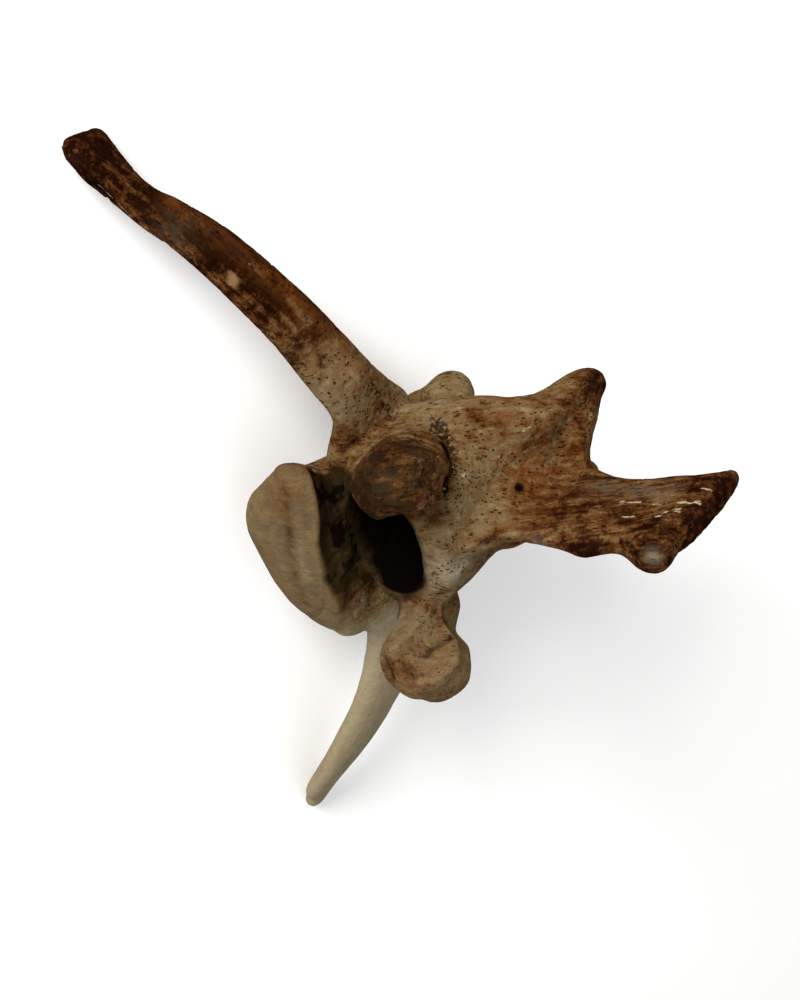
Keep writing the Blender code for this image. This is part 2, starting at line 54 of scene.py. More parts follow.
POSE = Matrix.LocRotScale(Vector(REST_PLACE), Euler(REST_TURN), None)

# The photograph's camera, as a turn and a shift from the animal's axes to the lens
LENS = 54.0
SENSOR = 36.0
TURN_AXIS = (0.57283, 2.14163, 0.57927)
LENS_SHIFT = (-4.254, -3.374, 252.603)

# The light: a large soft lamp behind the camera, and an even surround
KEY_BACK = 0.70
KEY_RIGHT = -0.20
KEY_UP = 0.22
KEY_AIM = (0, 0, 0.02)
KEY_SIZE = 0.34
KEY_POWER = 8.0
KEY_COLOUR = (1.0, 0.985, 0.96)
SURROUND_STRENGTH = 0.77
FLOOR_SIZE = 3.0
FLOOR_WHITES = ((0.3, (0.94, 0.94, 0.94, 1)), (0.7, (0.96, 0.96, 0.96, 1)))

# The surface: each solid is pushed out to meet its neighbours, and the joined skin is drawn back as far
SEAM_PUSH = 0.24
WELD_GAP = 1e-6
VOXEL = 0.25
SMOOTH_STEPS = 34
SMOOTH_IN = 0.5
SMOOTH_OUT = -0.52
HOLLOW_STEPS = 36
HOLLOW_DEPTH = 0.5

# Noise: how far its lattice is moved off the bone, and how each finer octave is turned and weakened
LATTICE_SHIFT = 311.7
OCTAVE_TURN = (0.7, 1.1, 0.4)
OCTAVE_SHARE = 0.55

# Directions that the bone's fibres run in
SPINE_FIBRE = (-0.49, 0.0, 0.87)
RIGHT_WING_FIBRE = (0.29, -0.86, -0.42)
LEFT_WING_FIBRE = (0.29, 0.86, -0.42)
FIBRE_STRETCH = 0.88

# The vertebral canal: its middle height, its rise towards the tail, and its half width and half height
CANAL_MIDDLE = 10.9
CANAL_RISE = 0.217
CANAL_HALF_WIDTH = 10.9
CANAL_HALF_HEIGHT = 8.4
CANAL_SQUARENESS = 2.5
CANAL_AXIS_HEIGHT = 11.5

# The domed front joint process
DOME_PLACE = (17.5, -18.6, 21.5)
DOME_RADII = (9.2, 7.4, 8.4)
DOME_RING = (17.4, -20.4, 22.1)
DOME_RING_DENSITY = 4.6

# The rim of the body's front face: its middle and its radii, across and up
FACE_MIDDLE = (1.3, -3.9)
FACE_RIM = (14.3, 6.9)
FACE_RIM_WIDTH = 0.045

# Lines on the bone: the points they pass through
LIP = (
    (15.6, -13.9, 0.4),
    (17.4, -11.7, 2.9),
    (18.8, -7.4, 3.7),
    (20.0, -2.0, 3.0),
    (20.3, 5.3, 2.6),
    (19.2, 12.4, 2.6),
)
BEHIND_LIP = (
    (14.6, -9.0, 3.9),
    (16.4, -5.0, 3.9),
    (17.4, 1.0, 3.5),
    (17.0, 7.0, 3.2),
    (16.2, 11.0, 3.0),
)
GROOVE = (
    (-2.4, -13.4, 13.8),
    (1.0, -13.0, 18.0),
    (5.0, -11.8, 21.2),
    (8.4, -10.4, 22.2),
    (10.6, -9.4, 22.2),
)
FISSURE = (
    (19.8, 15.7, 20.4),
    (18.4, 15.5, 20.4),
    (17.2, 15.5, 21.0),
    (16.0, 15.2, 21.8),
    (14.6, 15.6, 21.8),
)
FISSURE_EDGE = tuple((x + 0.3, y + 0.9, z + 0.5) for x, y, z in FISSURE)
FACET_CRACK = ((23.4, 15.2, 14.6), (24.1, 15.8, 15.6), (24.6, 16.3, 16.6), (25.2, 17.2, 17.0))
DOME_HOOK = ((20.4, -15.8, 15.2), (18.6, -18.4, 14.6), (17.2, -20.6, 16.0), (16.0, -22.2, 18.6))
DOME_BAND = ((20.9, -17.8, 20.1), (20.0, -18.7, 18.2), (17.7, -20.2, 17.3), (16.4, -22.0, 19.0))
WING_RIDGE = (
    (15.2, -58.0, -10.4),
    (11.6, -50.5, -4.6),
    (8.0, -40.5, 0.4),
    (4.6, -30.0, 4.0),
    (2.2, -22.0, 6.0),
)
WING_HOLLOW = ((18.2, -56.0, -9.4), (14.6, -46.3, -3.2), (11.0, -36.0, 1.0), (8.8, -27.0, 3.2))
WING_TIP_GROOVE = ((22.6, -62.4, -15.4), (21.8, -58.6, -13.6))
WING_STRIPE = ((12.6, -52.0, -5.6), (10.0, -47.8, -3.5))
WING_MIDLINE = ((12.3, -53.1, -6.6), (1.2, -29.8, 3.4))
LAMINA_EDGE = ((13.3, 0.0, 20.3), (10.2, -0.6, 26.0), (6.0, -1.4, 29.1), (4.4, -1.0, 33.5))
LAMINA_STAIN = ((13.6, 0.2, 20.2), (10.2, -0.5, 25.9), (6.0, -1.3, 29.0))
LAMINA_CHALK = ((12.5, 4.5, 23.5), (6.0, 2.2, 29.0), (4.6, 1.0, 34.0))
LEFT_JOINT_NECK = ((13.7, 10.9, 13.6), (13.9, 10.9, 17.0), (13.4, 12.6, 18.8), (12.8, 15.0, 20.2))
FACE_SEAM = ((19.9, -11.7, -0.8), (21.2, -2.9, -1.1), (21.4, 4.7, -2.5), (20.9, 11.7, -2.7))
FACE_PALE = ((20.0, -9.4, 1.2), (21.0, -2.6, 0.9), (21.1, 5.0, -0.4))
RESIN = ((5.2, -15.2, 21.0), (6.8, -14.0, 22.5), (8.6, -13.0, 23.5), (11.8, -14.0, 25.8))
PIT_ROW = ((0.7, -20.7, 5.4), (-0.6, -17.0, 5.7), (-1.1, -13.4, 6.8))
PIT_ROW_ON = ((6.5, -18.1, 15.7), (9.3, -19.0, 20.2))
SPINE_STRIPE = ((-8.6, -2.0, 38.0), (-10.6, -2.3, 49.5))

# Single places on the bone
FORAMEN = (-2.7, -3.8, 27.8)
WING_TIP_DENT = (23.4, -63.2, -16.0)
WING_TIP_CRUST = (22.9, -63.9, -16.1)
WING_SPOT = (14.7, -46.3, -3.2)
WING_SPOT_RADII = (1.1, 1.6, 1.3)
WING_ROOT = (8.0, -25.0, 3.2)
WING_ROOT_RADII = (6.0, 6.5, 4.5)
WING_GREY = (18.8, -54.9, -9.0)
DOME_GREY = (20.0, -19.0, 19.2)
KNOB = (20.5, 16.6, 24.0)
SPINE_KNOB = (3.0, -1.2, 53.7)
GROOVE_END = (8.4, -9.8, 22.4)
LAMINA_GLOW = (-6.0, -7.0, 30.0)
LAMINA_GLOW_RADII = (7.0, 8.0, 5.5)
LAMINA_GRIT = (-1.0, -9.0, 23.0)
LAMINA_GRIT_RADII = (9.0, 6.0, 9.0)
LEFT_NECK = (13.0, 3.5, 20.5)
LEFT_NECK_RADII = (6.0, 5.0, 6.5)
CANAL_CORNER = (12.6, 9.4, 8.2)
CANAL_CORNER_RADII = (3.6, 3.8, 4.6)
CANAL_LEDGE = (13.6, 12.4, 8.6)
CANAL_LEDGE_RADII = (2.6, 3.4, 4.2)

# Relief: the line, its half width, and how far it stands out (or, below 0, is cut in)
RELIEF_LINES = (
    (LIP, 0.75, 0.55),
    (FACE_SEAM, 1.2, -0.32),
    (BEHIND_LIP, 1.7, -0.50),
    (GROOVE, 1.2, -0.9),
    (FISSURE, 0.42, -0.55),
    (FISSURE_EDGE, 0.6, 0.30),
    (FACET_CRACK, 0.4, -0.40),
    (DOME_HOOK, 0.7, 0.35),
    (DOME_BAND, 0.8, -0.35),
    (WING_RIDGE, 1.5, 0.40),
    (WING_HOLLOW, 1.8, -0.28),
    (WING_TIP_GROOVE, 0.7, -0.35),
    (LAMINA_EDGE, 0.7, 0.22),
)
# Crumbly lines: the line and its half width
CRUMBLY_LINES = ((PIT_ROW, 1.3), (PIT_ROW_ON, 1.1), (GROOVE[:3], 1.6))
CRUMB_HEIGHT = 0.40
# Dents: place, reach and depth
DENTS = ((FORAMEN, 0.8, 1.2), (WING_TIP_DENT, 1.1, 1.0))
PIT_DEPTH = 0.22
# Places moved as a whole: centre, reach and move
NUDGES = (
    ((14.9, -17.6, 27.0), 3.6, (0.8, -0.3, -1.3)),
    ((9.0, -18.6, 23.4), 4.0, (0.2, 0.6, 0.5)),
)

# How dark each region is, 0 to 1, and by how much that varies
BASE_STAIN = 0.44
BASE_VARIES = 0.06
STAIN_LEVELS = (
    ("right_wing", 0.80, 0.13),
    ("spine", 0.63, 0.11),
    ("spine_top", 0.72, 0.14),
    ("body", 0.40, 0.07),
    ("face", 0.32, 0.04),
    ("left_joint", 0.36, 0.12),
    ("right_dome", 1.00, 0.10),
    ("left_wing", 0.03, 0.04),
    # The canal's floor, dark partly as painted shade under the canal's roof
    ("floor", 0.62, 0.10),
)
# Stains: place, reach, and how much darker (or, below 0, paler) the bone is there
STAINS = (
    ((20.6, -69.4, -19.0), 5.0, 0.20),
    ((15.5, -57.6, -9.6), 3.4, 0.36),
    ((14.8, -49.8, -4.8), 2.0, 0.40),
    ((11.9, -41.2, -0.4), 2.8, 0.34),
    ((12.6, -45.0, -2.6), 1.6, 0.26),
    ((8.7, -29.2, 3.4), 1.2, 0.30),
    (WING_GREY, 4.0, -0.16),
    ((14.4, -36.0, -0.6), 5.0, -0.14),
    ((10.0, -25.0, 3.0), 6.0, -0.20),
    ((6.0, -21.0, 5.0), 5.0, -0.12),
    ((-4.6, -13.3, 19.0), 4.0, 0.16),
    ((4.8, -5.5, 24.3), 4.0, -0.10),
    ((-14.0, -7.2, 29.2), 4.0, -0.18),
    ((-9.0, -3.2, 54.0), 3.0, -0.18),
    ((24.7, 16.8, 20.5), 2.2, 0.24),
    ((17.0, -13.5, -1.0), 4.0, 0.16),
    ((-7.4, -1.1, 56.2), 3.4, 0.26),
    ((13.4, -15.8, 28.4), 2.4, -0.45),
    ((21.6, 15.0, 24.0), 5.0, 0.10),
    ((8.4, -15.6, 4.0), 2.4, 0.45),
    ((12.4, -12.4, 4.0), 3.0, 0.16),
    ((-11.7, -13.7, 10.4), 5.5, -0.14),
    ((0.0, -8.5, 24.0), 6.0, -0.13),
    ((-9.6, -8.0, 28.6), 5.0, 0.16),
    ((-14.3, -11.0, 29.6), 5.0, 0.12),
    ((-25.7, -11.2, 30.3), 5.0, 0.34),
    ((-3.3, -2.0, 34.0), 5.0, 0.12),
    ((4.6, -0.4, 44.0), 3.4, 0.20),
    ((-7.3, -0.8, 57.0), 4.0, 0.22),
    ((-17.0, -2.0, 55.5), 5.0, 0.14),
    ((21.9, -15.9, 17.0), 3.0, 0.34),
    ((16.8, -20.8, 23.0), 3.0, -0.34),
    ((24.3, 16.8, 16.0), 2.4, 0.34),
    ((23.0, 19.0, 21.0), 2.6, 0.20),
    ((20.6, -10.0, -0.5), 5.0, 0.16),
    ((2.0, -13.0, 25.0), 5.0, 0.10),
)
# Darker and paler lines: the line, its half width, and how much
STREAKS = (
    (FACE_SEAM, 1.1, 0.07),
    (FACE_PALE, 0.9, -0.10),
    (LEFT_JOINT_NECK, 0.8, 0.26),
    (LAMINA_STAIN, 0.55, 0.28),
    (WING_MIDLINE, 1.6, 0.10),
    (DOME_BAND, 0.8, 0.30),
)
# Purplish spots: place, reach and strength
PLUM_SPOTS = (
    ((14.8, -54.0, -7.1), 2.6, 0.75),
    ((-7.4, -1.1, 56.4), 2.8, 0.60),
    ((-22.6, -11.0, 31.6), 3.2, 0.45),
    ((-16.8, -2.1, 56.6), 3.0, 0.45),
    ((8.6, -15.4, 4.2), 1.8, 0.50),
)
# Gritty lines: the line, its half width and strength
GRIT_LINES = (
    (GROOVE[:3], 1.7, 0.75),
    (PIT_ROW, 1.4, 0.60),
    (PIT_ROW_ON, 1.2, 0.55),
    (GROOVE[2:], 1.2, 0.80),
)
# Pale flecks, on the spine plate and the right side process partly painted highlights: the two ends and
# the half width
FLECKS_AND_HIGHLIGHTS = (
    ((-7.6, -11.1, 26.8), (-8.8, -11.1, 27.4), 0.34),
    ((4.3, -9.3, 22.3), (3.5, -9.3, 22.8), 0.34),
    ((9.0, -9.9, 22.2), (8.3, -9.9, 22.7), 0.36),
    ((-6.3, -2.1, 43.6), (-7.0, -2.1, 46.6), 0.26),
    ((-7.0, -2.5, 48.2), (-7.8, -2.5, 51.4), 0.30),
    ((-5.5, -3.1, 51.8), (-6.1, -3.1, 53.6), 0.46),
    ((-7.9, -3.2, 52.6), (-8.5, -3.2, 54.0), 0.42),
    ((-8.6, -2.9, 54.4), (-9.2, -2.9, 55.6), 0.36),
    ((-12.2, -2.7, 54.4), (-12.9, -2.7, 56.0), 0.32),
    ((-3.0, -2.1, 45.4), (-3.6, -2.1, 47.2), 0.22),
    ((-4.0, -2.8, 50.4), (-4.6, -2.8, 52.4), 0.22),
    ((11.4, -47.1, -3.0), (10.2, -45.4, -2.1), 0.12),
    ((22.8, -63.9, -16.1), (21.9, -61.3, -14.3), 0.16),
    ((21.9, -61.3, -14.3), (21.3, -58.7, -13.4), 0.16),
    ((12.9, -7.6, 2.8), (12.0, -7.9, 4.2), 0.30),
)
FLECK_AND_HIGHLIGHT_SPREAD = 1.5

# How much of the screen colours the shader takes under this scene's bright light
LIT = 0.66


def linear(red, green, blue):
    """A screen colour, 0 to 255, as the shader wants it."""
    shares = [value / 255 for value in (red, green, blue)]
    straight = [s / 12.92 if s <= 0.04045 else ((s + 0.055) / 1.055) ** 2.4 for s in shares]
    return tuple(LIT * value for value in straight) + (1.0,)


# Colours, the first six from pale bone to dark stain
STAIN_STOPS = (
    (0.0, linear(156, 143, 114)),
    (0.25, linear(122, 103, 72)),
    (0.45, linear(110, 83, 52)),
    (0.64, linear(94, 60, 30)),
    (0.80, linear(70, 39, 17)),
    (1.0, linear(28, 10, 3)),
)
ORANGE = linear(112, 62, 24)
PINK = linear(162, 126, 88)
CHALK = linear(158, 148, 126)
GREY = linear(92, 84, 70)
# Murky brown of the dome and of the canal, where it is partly painted shade
MURK = linear(50, 38, 21)
# Painted shade with dark soil, near black, deep in the canal
SHADE_AND_SOIL_BLACK = linear(10, 6, 4)
BLOT = linear(34, 15, 9)
PLUM = linear(46, 28, 20)
CRUST = linear(20, 9, 5)
# Pale flecks and chips, and painted highlight specks
FLECK_AND_HIGHLIGHT = linear(186, 170, 134)
SCRATCH = linear(36, 19, 11)


# Numbers over many points


def ease(low, high, values):
    """0 below low, 1 above high, smooth between; low may be above high."""
    share = np.clip((values - low) / (high - low), 0.0, 1.0)
    return share * share * (3.0 - 2.0 * share)


def near(points, centre, radius):
    """A soft blob: 1 at the centre, about a third at the radius."""
    away = ((points - np.array(centre)) ** 2).sum(1)
    return np.exp(-away / radius**2)


def oval(points, centre, radii):
    """A soft blob with its own radius along each axis."""
    away = (((points - np.array(centre)) / np.array(radii)) ** 2).sum(1)
    return np.exp(-away)


def along(points, path, radius):
    """A soft line through a few points: 1 on it, about a third at the radius."""
    best = np.full(len(points), 1e9)
    for start, end in zip(path[:-1], path[1:]):
        a = np.array(start, float)
        d = np.array(end, float) - a
        share = np.clip(((points - a) @ d) / (d @ d), 0.0, 1.0)
        away = ((points - a - share[:, None] * d) ** 2).sum(1)
        best = np.minimum(best, away)
    return np.exp(-best / radius**2)


def hashed(ix, iy, iz, seed):
    """A fixed number from -1 to 1 for each lattice corner."""
    h = (ix * 73856093) ^ (iy * 19349663) ^ (iz * 83492791) ^ (seed * 265443576)
    h = ((h ^ (h >> 13)) * 1274126177) & 0xFFFFFFFF
    h = h ^ (h >> 16)
    return (h & 0xFFFF) / 32767.5 - 1.0


def noise(points, size, seed):
    """Smooth noise from -1 to 1 with features about as big as size."""
    p = points / size + LATTICE_SHIFT
    base = np.floor(p).astype(np.int64)
    f = p - base
    w = f * f * f * (f * (f * 6.0 - 15.0) + 10.0)
    total = np.zeros(len(points))
    for corner in itertools.product((0, 1), repeat=3):
        weight = np.ones(len(points))
        for axis in range(3):
            weight = weight * (w[:, axis] if corner[axis] else 1.0 - w[:, axis])
        cell = [base[:, axis] + corner[axis] for axis in range(3)]
        total += weight * hashed(cell[0], cell[1], cell[2], seed)
    return total


def fractal(points, size, octaves, seed):
    """Noise with finer noise on it, from about -1 to 1."""
    total = np.zeros(len(points))
    share = 1.0
    whole = 0.0
    for step in range(octaves):
        turn = Euler([angle * step for angle in OCTAVE_TURN])
        turned = points @ np.array(turn.to_matrix())
        total += share * noise(turned, size / 2.0**step, seed + step)
        whole += share
        share *= OCTAVE_SHARE
    return total / whole


# The surface


def node_mesh(name):
    """A welded copy of one solid, in the animal's axes and in millimetres, pushed out all round."""
    copy = bmesh.new()
    copy.from_mesh(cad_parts[name].data)
    bmesh.ops.remove_doubles(copy, verts=copy.verts, dist=WELD_GAP)
    bmesh.ops.transform(copy, matrix=POSE.inverted(), verts=copy.verts)
    bmesh.ops.scale(copy, vec=(1 / MM, 1 / MM, 1 / MM), verts=copy.verts)
    copy.normal_update()
    pushed = [vert.co + vert.normal * SEAM_PUSH for vert in copy.verts]
    for vert, place in zip(copy.verts, pushed):
        vert.co = place
    return copy


def joined_solids():
    """All the solids in one mesh that overlaps itself at the seams."""
    whole = bmesh.new()
    for name in sorted(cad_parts):
        part = node_mesh(name)
        passing = bpy.data.meshes.new("passing")
        part.to_mesh(passing)
        part.free()
        whole.from_mesh(passing)
        bpy.data.meshes.remove(passing)
    mesh = bpy.data.meshes.new("bone_surface")
    whole.to_mesh(mesh)
    whole.free()
    return mesh


def remeshed(mesh):
    """The outer surface alone, on an even grid."""
    bone = bpy.data.objects.new("bone", mesh)
    bpy.context.scene.collection.objects.link(bone)
    modifier = bone.modifiers.new("even_grid", "REMESH")
    modifier.mode = "VOXEL"
    modifier.voxel_size = VOXEL
    modifier.adaptivity = 0.0
    seen = bone.evaluated_get(bpy.context.evaluated_depsgraph_get())
    made = bpy.data.meshes.new_from_object(seen)
    bone.modifiers.clear()
    bone.data = made
    bpy.data.meshes.remove(mesh)
    return bone


def largest_piece(mesh):
    """Drops any crumb that the grid leaves beside the bone."""
    work = bmesh.new()
    work.from_mesh(mesh)
    work.verts.ensure_lookup_table()
    seen = set()
    best = []
    for vert in work.verts:
        if vert.index in seen:
            continue
        seen.add(vert.index)
        group = [vert]
        for member in group:
            for edge in member.link_edges:
                other = edge.other_vert(member)
                if other.index not in seen:
                    seen.add(other.index)
                    group.append(other)
        if len(group) > len(best):
            best = group
    keep = {vert.index for vert in best}
    spare = [vert for vert in work.verts if vert.index not in keep]
    bmesh.ops.delete(work, geom=spare, context="VERTS")
    work.to_mesh(mesh)
    work.free()


def coordinates(mesh):
    flat = np.empty(len(mesh.vertices) * 3)
    mesh.vertices.foreach_get("co", flat)
    return flat.reshape(-1, 3)


def edges_of(mesh):
    flat = np.empty(len(mesh.edges) * 2, dtype=np.int32)
    mesh.edges.foreach_get("vertices", flat)
    return flat.reshape(-1, 2)


def averaged(values, edges):
    """Each point's mean over its neighbours."""
    count = len(values)
    ends = np.concatenate([edges[:, 0], edges[:, 1]])
    others = np.concatenate([edges[:, 1], edges[:, 0]])
    number = np.bincount(ends, minlength=count)
    total = [np.bincount(ends, weights=column[others], minlength=count) for column in values.T]
    return np.stack(total, 1) / np.maximum(number, 1)[:, None]


def smoothed(points, edges, steps):
    """Rounds the facets off without shrinking the form."""
    for step in range(steps):
        for share in (SMOOTH_IN, SMOOTH_OUT):
            points = points + share * (averaged(points, edges) - points)
    return points


def normals_of(mesh, points):
    """The normals that the mesh has with its points moved to these."""
    mesh.vertices.foreach_set("co", points.ravel())
    mesh.update()
    flat = np.empty(len(points) * 3)
    mesh.vertex_normals.foreach_get("vector", flat)
    return flat.reshape(-1, 3)


# Regions


def regions(p):
    """How much each point belongs to each region of the bone, 0 to 1."""
    x, y, z = p.T
    found = {}
    found["right_wing"] = ease(-20.0, -38.0, y) * ease(14.0, 9.0, z)
    found["left_wing"] = ease(15.0, 21.0, y) * ease(12.5, 8.5, z)
    found["spine"] = ease(24.0, 36.0, z)
    found["spine_top"] = ease(44.0, 55.0, z)
    found["body"] = ease(8.0, 3.0, z) * ease(22.0, 15.0, np.abs(y))
    found["face"] = ease(15.0, 18.0, x) * ease(5.5, 3.0, z) * ease(20.0, 17.5, np.abs(y))
    found["left_joint"] = ease(9.0, 13.0, y) * ease(9.0, 14.0, z) * ease(5.0, 12.0, x)
    found["right_dome"] = np.minimum(1.0, 1.25 * oval(p, DOME_PLACE, DOME_RADII))
    found["canal"] = canal_region(x, y, z)
    found["floor"] = floor_region(x, y, z)
    return found


def canal_region(x, y, z):
    """The inside of the vertebral canal and its wall."""
    middle = CANAL_MIDDLE + np.clip(-x, 0, None) * CANAL_RISE
    across = (np.abs(y) / CANAL_HALF_WIDTH) ** CANAL_SQUARENESS
    across += (np.abs(z - middle) / CANAL_HALF_HEIGHT) ** CANAL_SQUARENESS
    return ease(1.25, 0.85, across)


def floor_region(x, y, z):
    """The top of the body behind its lip, which is the canal's floor."""
    lip = np.interp(y, [q[1] for q in LIP], [q[0] for q in LIP])
    found = ease(-0.1, -0.8, x - lip) * ease(0.0, 5.0, x) * ease(0.2, 1.2, z) * ease(8.6, 7.0, z)
    right_edge = y + 12.6 - 2.4 * ease(14.0, 10.0, x)
    return found * ease(-0.8, 0.5, right_edge) * ease(15.0, 12.0, y)


def fibred(p, direction):
    """Places squeezed along one direction, so that noise read from them is drawn out that way."""
    d = np.array(direction) / np.linalg.norm(direction)
    return p - FIBRE_STRETCH * (p @ d)[:, None] * d


def fibres(p, part):
    """Places squeezed along the bone's own fibres, region by region."""
    out = fibred(p, SPINE_FIBRE)
    for name, direction in (("right_wing", RIGHT_WING_FIBRE), ("left_wing", LEFT_WING_FIBRE)):
        share = part[name][:, None]
        out = out * (1 - share) + fibred(p, direction) * share
    return out


def hollowness(points, edges, normals):
    """Above 0 in hollows and below 0 on edges, about -1 to 1."""
    blurred = points
    for step in range(HOLLOW_STEPS):
        blurred = averaged(blurred, edges)
    return np.clip(((blurred - points) * normals).sum(1) / HOLLOW_DEPTH, -1.0, 1.0)


# Relief


def roughness(p, part):
    """Bumps and fibres of the bone's skin."""
    x, y, z = p.T
    lift = 0.10 * fractal(p, 6.0, 3, 11) + 0.025 * fractal(p, 1.4, 2, 12)
    rough = 0.4 + 0.6 * part["spine"] + 0.5 * part["right_wing"]
    rough = rough - 0.3 * part["left_wing"] - 0.3 * part["face"]
    lift += 0.085 * rough * fractal(fibres(p, part), 1.5, 3, 21)
    lift += 0.5 * part["canal"] * ease(12.0, 6.0, x) * fractal(p, 3.0, 3, 15)
    lift += 0.22 * near(p, KNOB, 3.4) * fractal(p, 1.6, 3, 63)
    lift += 0.18 * ease(53.0, 56.0, z) * fractal(p, 1.6, 3, 61)
    lift += 0.22 * ease(-66.0, -69.5, y) * fractal(p, 2.0, 3, 62)
    crumbly = sum(along(p, path, width) for path, width in CRUMBLY_LINES)
    lift += CRUMB_HEIGHT * crumbly * fractal(p, 1.3, 3, 64)
    return lift


def rings_and_rims(p, part):
    """The fine rings on the dome and the groove round the front face."""
    x, y, z = p.T
    rings = np.sqrt(((p - np.array(DOME_RING)) ** 2).sum(1)) + 0.35 * fractal(p, 3.0, 2, 17)
    rim = np.hypot((y - FACE_MIDDLE[0]) / FACE_RIM[0], (z - FACE_MIDDLE[1]) / FACE_RIM[1])
    lift = 0.07 * part["right_dome"] * np.sin(rings * DOME_RING_DENSITY)
    lift -= 0.16 * part["face"] * np.exp(-(((rim - 1.0) / FACE_RIM_WIDTH) ** 2))
    return lift


def relief(p, normals, part):
    """Each point, moved along its normal."""
    lift = roughness(p, part) + rings_and_rims(p, part)
    for path, width, height in RELIEF_LINES:
        lift += height * along(p, path, width)
    for place, reach, depth in DENTS:
        lift -= depth * near(p, place, reach)
    pits = ease(0.50, 0.72, fractal(p, 1.1, 1, 71))
    lift -= PIT_DEPTH * pits * (1 - part["left_wing"]) * (1 - 0.7 * part["face"])
    shaped = p + normals * lift[:, None]
    for centre, reach, move in NUDGES:
        shaped += near(p, centre, reach)[:, None] * np.array(move)
    return shaped


# Masks for the colours, each 0 to 1


def stain_mask(p, part, hollow, blotch, fine):
    """How dark the bone is, by region, and with its stains and streaks."""
    stain = BASE_STAIN + BASE_VARIES * blotch
    for name, level, vary in STAIN_LEVELS:
        stain = stain * (1 - part[name]) + part[name] * (level + vary * blotch)
    for centre, reach, much in STAINS:
        stain += much * near(p, centre, reach) * (1 + 0.5 * fine)
    for path, reach, much in STREAKS:
        stain += much * along(p, path, reach) * (1 + 0.6 * fine)
    # Darker in hollows and a little paler on edges, then darker on the edges of the spine plate and the
    # right side process
    stain += 0.16 * np.clip(hollow, -0.5, 1) * (1 - 0.7 * part["left_wing"])
    edges_darken = (part["spine"] + part["right_wing"]) * (1 + 0.5 * blotch)
    stain += 0.30 * np.clip(-hollow, 0, 1) * edges_darken
    return stain


def orange_mask(p, blotch):
    """The warm patch on the lamina, the long ridge, and the rim round the resin."""
    orange = oval(p, LAMINA_GLOW, LAMINA_GLOW_RADII) * (0.75 + 0.5 * blotch)
    orange += 0.7 * along(p, WING_RIDGE, 2.2)
    orange += 1.4 * np.clip(along(p, RESIN, 2.2) - along(p, RESIN, 1.4), 0, 1)
    return orange


def pink_mask(p, spot, fine):
    """The pale pinkish spot, the knob and the root of the right side process."""
    ragged = ease(0.30, 0.95, spot + 0.5 * fractal(p, 1.3, 3, 83))
    pink = 0.62 * ragged * ease(0.1, 0.4, spot) + 0.15 * near(p, KNOB, 3.5)
    pink += 0.55 * oval(p, WING_ROOT, WING_ROOT_RADII) * (0.7 + 1.1 * fine)
    return pink


def plum_mask(p, fine):
    """The purplish brown of the face's seam, a stripe and some spots."""
    plum = 0.70 * along(p, FACE_SEAM, 0.8) * ease(-0.5, 0.3, fractal(p, 3.0, 3, 84))
    plum += 0.55 * along(p, WING_STRIPE, 1.8)
    for place, reach, strength in PLUM_SPOTS:
        plum += strength * near(p, place, reach)
    return plum * (0.75 + 0.9 * fine)


def grey_mask(p, part, fine):
    """Weathered grey, mostly on the front face, the front joints and the spine plate."""
    grey = along(p, SPINE_STRIPE, 1.7) * (0.7 + 0.5 * fine)
    grey += 0.5 * near(p, WING_GREY, 3.0) * (0.7 + 0.8 * fine) + 0.2 * near(p, DOME_GREY, 1.6)
    grey += 0.14 * part["right_dome"] * (0.7 + 0.8 * fine)
    grey += (0.50 * part["face"] + 0.22 * part["left_joint"]) * (0.7 + 0.9 * fine)
    return grey


def canal_soil_and_shade_masks(p, normals, part, fine):
    """The canal's dark soil and painted shade: a murky brown over the floor and walls, near black
    further in.
    """
    x, y, z = p.T
    height = z - CANAL_AXIS_HEIGHT
    inward = -(normals[:, 1] * y + normals[:, 2] * height) / np.hypot(y, height)
    deep = ease(6.0, 11.0, z)
    inner = part["canal"] * ease(-0.15, 0.25, inward)
    # Painted shade with dark soil: near black beyond this depth into the canal
    reach = 10.6 + 1.6 * deep + 2.2 * ease(3.0, 6.5, y) * deep
    dark = inner * ease(1.0, -1.0, (x - reach) / (3.0 - 1.5 * deep))
    # Painted shade in blotches on the canal's floor, under its roof
    dark += part["floor"] * ease(11.0, 3.0, y) * (0.15 + 0.75 * ease(0.02, 0.20, fine))
    # Painted shade in the canal's left corner
    dark += 0.62 * oval(p, CANAL_CORNER, CANAL_CORNER_RADII) * ease(-0.2, 0.3, inward)
    # The murky brown on the ledge, the canal's floor and its mouth is partly painted shade that blends
    # into the black
    ledge = 1.1 * oval(p, CANAL_LEDGE, CANAL_LEDGE_RADII)
    murk = np.maximum(part["floor"] * ease(16.0, 9.0, y), ledge)
    murk = np.maximum(murk, inner * ease(17.5, 15.5, x)) * (0.98 + 0.25 * fine)
    return dark, murk


def crust_mask(p):
    """Dark resin beside the dome, and what fills the cracks and holes."""
    crust = ease(0.35, 0.75, along(p, RESIN, 1.7) + 0.45 * fractal(p, 1.6, 3, 81))
    crust += ease(0.50, 0.75, near(p, GROOVE_END, 1.1) + 0.3 * fractal(p, 1.0, 2, 82))
    crust += 0.95 * along(p, FISSURE, 0.5) + 0.8 * along(p, FACET_CRACK, 0.45)
    crust += ease(0.3, 0.6, near(p, FORAMEN, 0.9)) + 0.5 * near(p, WING_TIP_CRUST, 1.1)
    return crust


def fleck_and_highlight_mask(p):
    """Pale flecks and scratches, partly painted highlights."""
    fleck_and_highlight = np.zeros(len(p))
    for first, last, reach in FLECKS_AND_HIGHLIGHTS:
        fleck_and_highlight = np.maximum(fleck_and_highlight, along(p, (first, last), FLECK_AND_HIGHLIGHT_SPREAD * reach))
    return fleck_and_highlight


